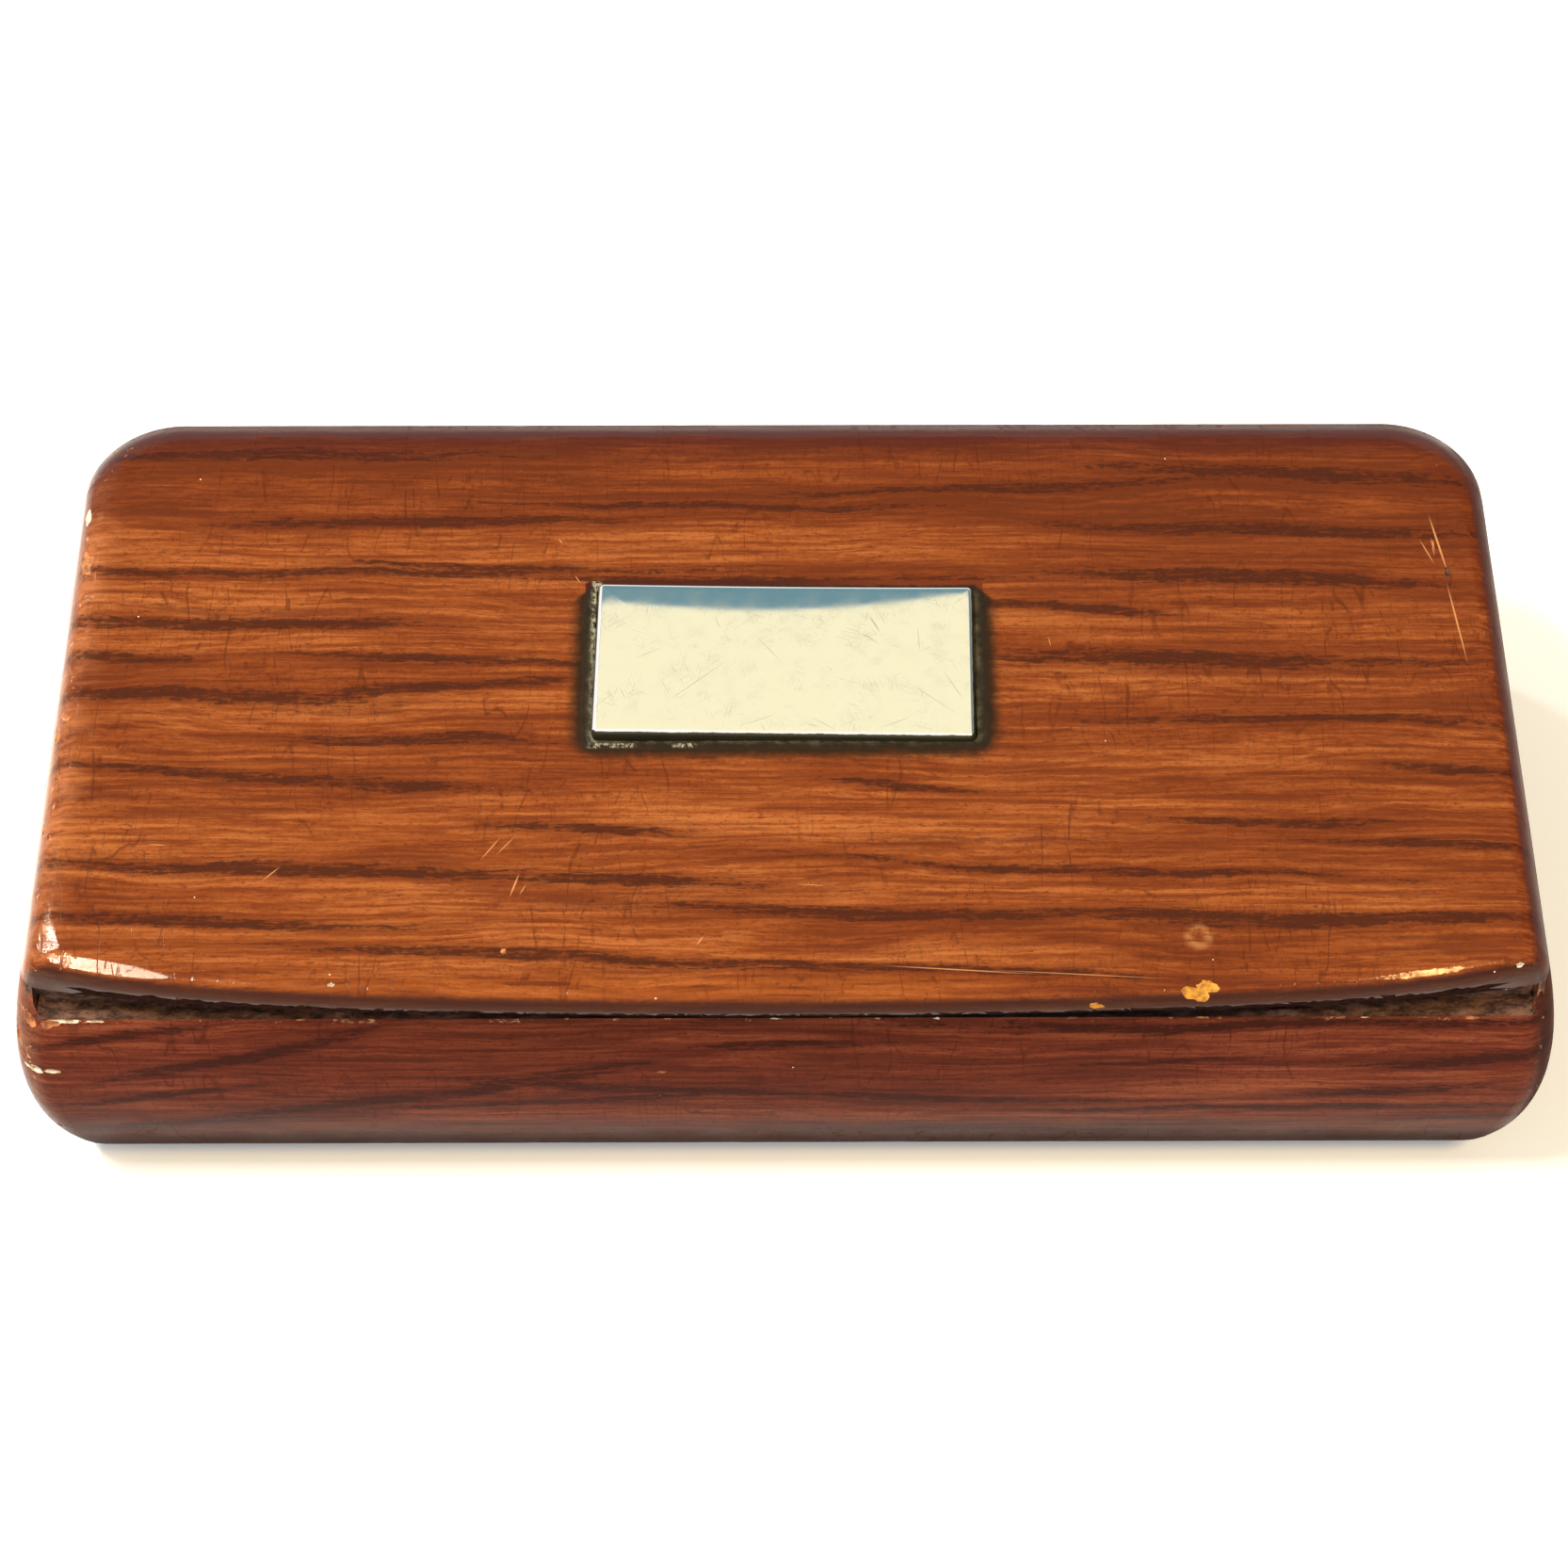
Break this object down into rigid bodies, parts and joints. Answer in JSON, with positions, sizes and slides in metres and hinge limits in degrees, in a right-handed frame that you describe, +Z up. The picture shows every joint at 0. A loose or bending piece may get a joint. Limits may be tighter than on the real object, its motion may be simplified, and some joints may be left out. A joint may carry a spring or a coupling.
{
  "type": "snuff box",
  "caption": "Long low wooden snuff box with a bowed thumb lip, a thumb recess, an integral wooden hinge along the back and a small plain silver plaque let into the hinged lid.",
  "frame": {"origin": "middle of the whole box's footprint, on the plane that it rests on", "axes": "+X along the box to the right, -Y towards the lip at the front, +Z up"},
  "size_m": [0.0824, 0.0404, 0.022],
  "materials": {
    "grained_wood": "gloss varnish over red-brown and amber grain",
    "bare_wood": "dark, matt and worn",
    "tin_foil": "dull crinkled tinned foil",
    "brass": "drawn wire",
    "mastic": "dark set mastic with grime",
    "silver": "polished with fine scratches"
  },
  "bodies": {
    "base": {"base_walls": "grained_wood", "floor_board": "grained_wood", "inner_rim": "bare_wood", "base_lining": "tin_foil", "hinge_pin": "brass", "pin_plug_left": "grained_wood", "pin_plug_right": "grained_wood"},
    "lid": {"lid_board": "grained_wood", "lid_lining": "tin_foil", "plaque_bed": "mastic", "silver_plaque": "silver", "plaque_pins": "silver"}
  },
  "joints": [
    {"name": "lid_hinge", "type": "hinge", "parent": "base", "child": "lid", "pos_m": [0, 0.0165, 0.0178], "axis": [-1, 0, 0], "range_deg": [0, 100]}
  ]
}
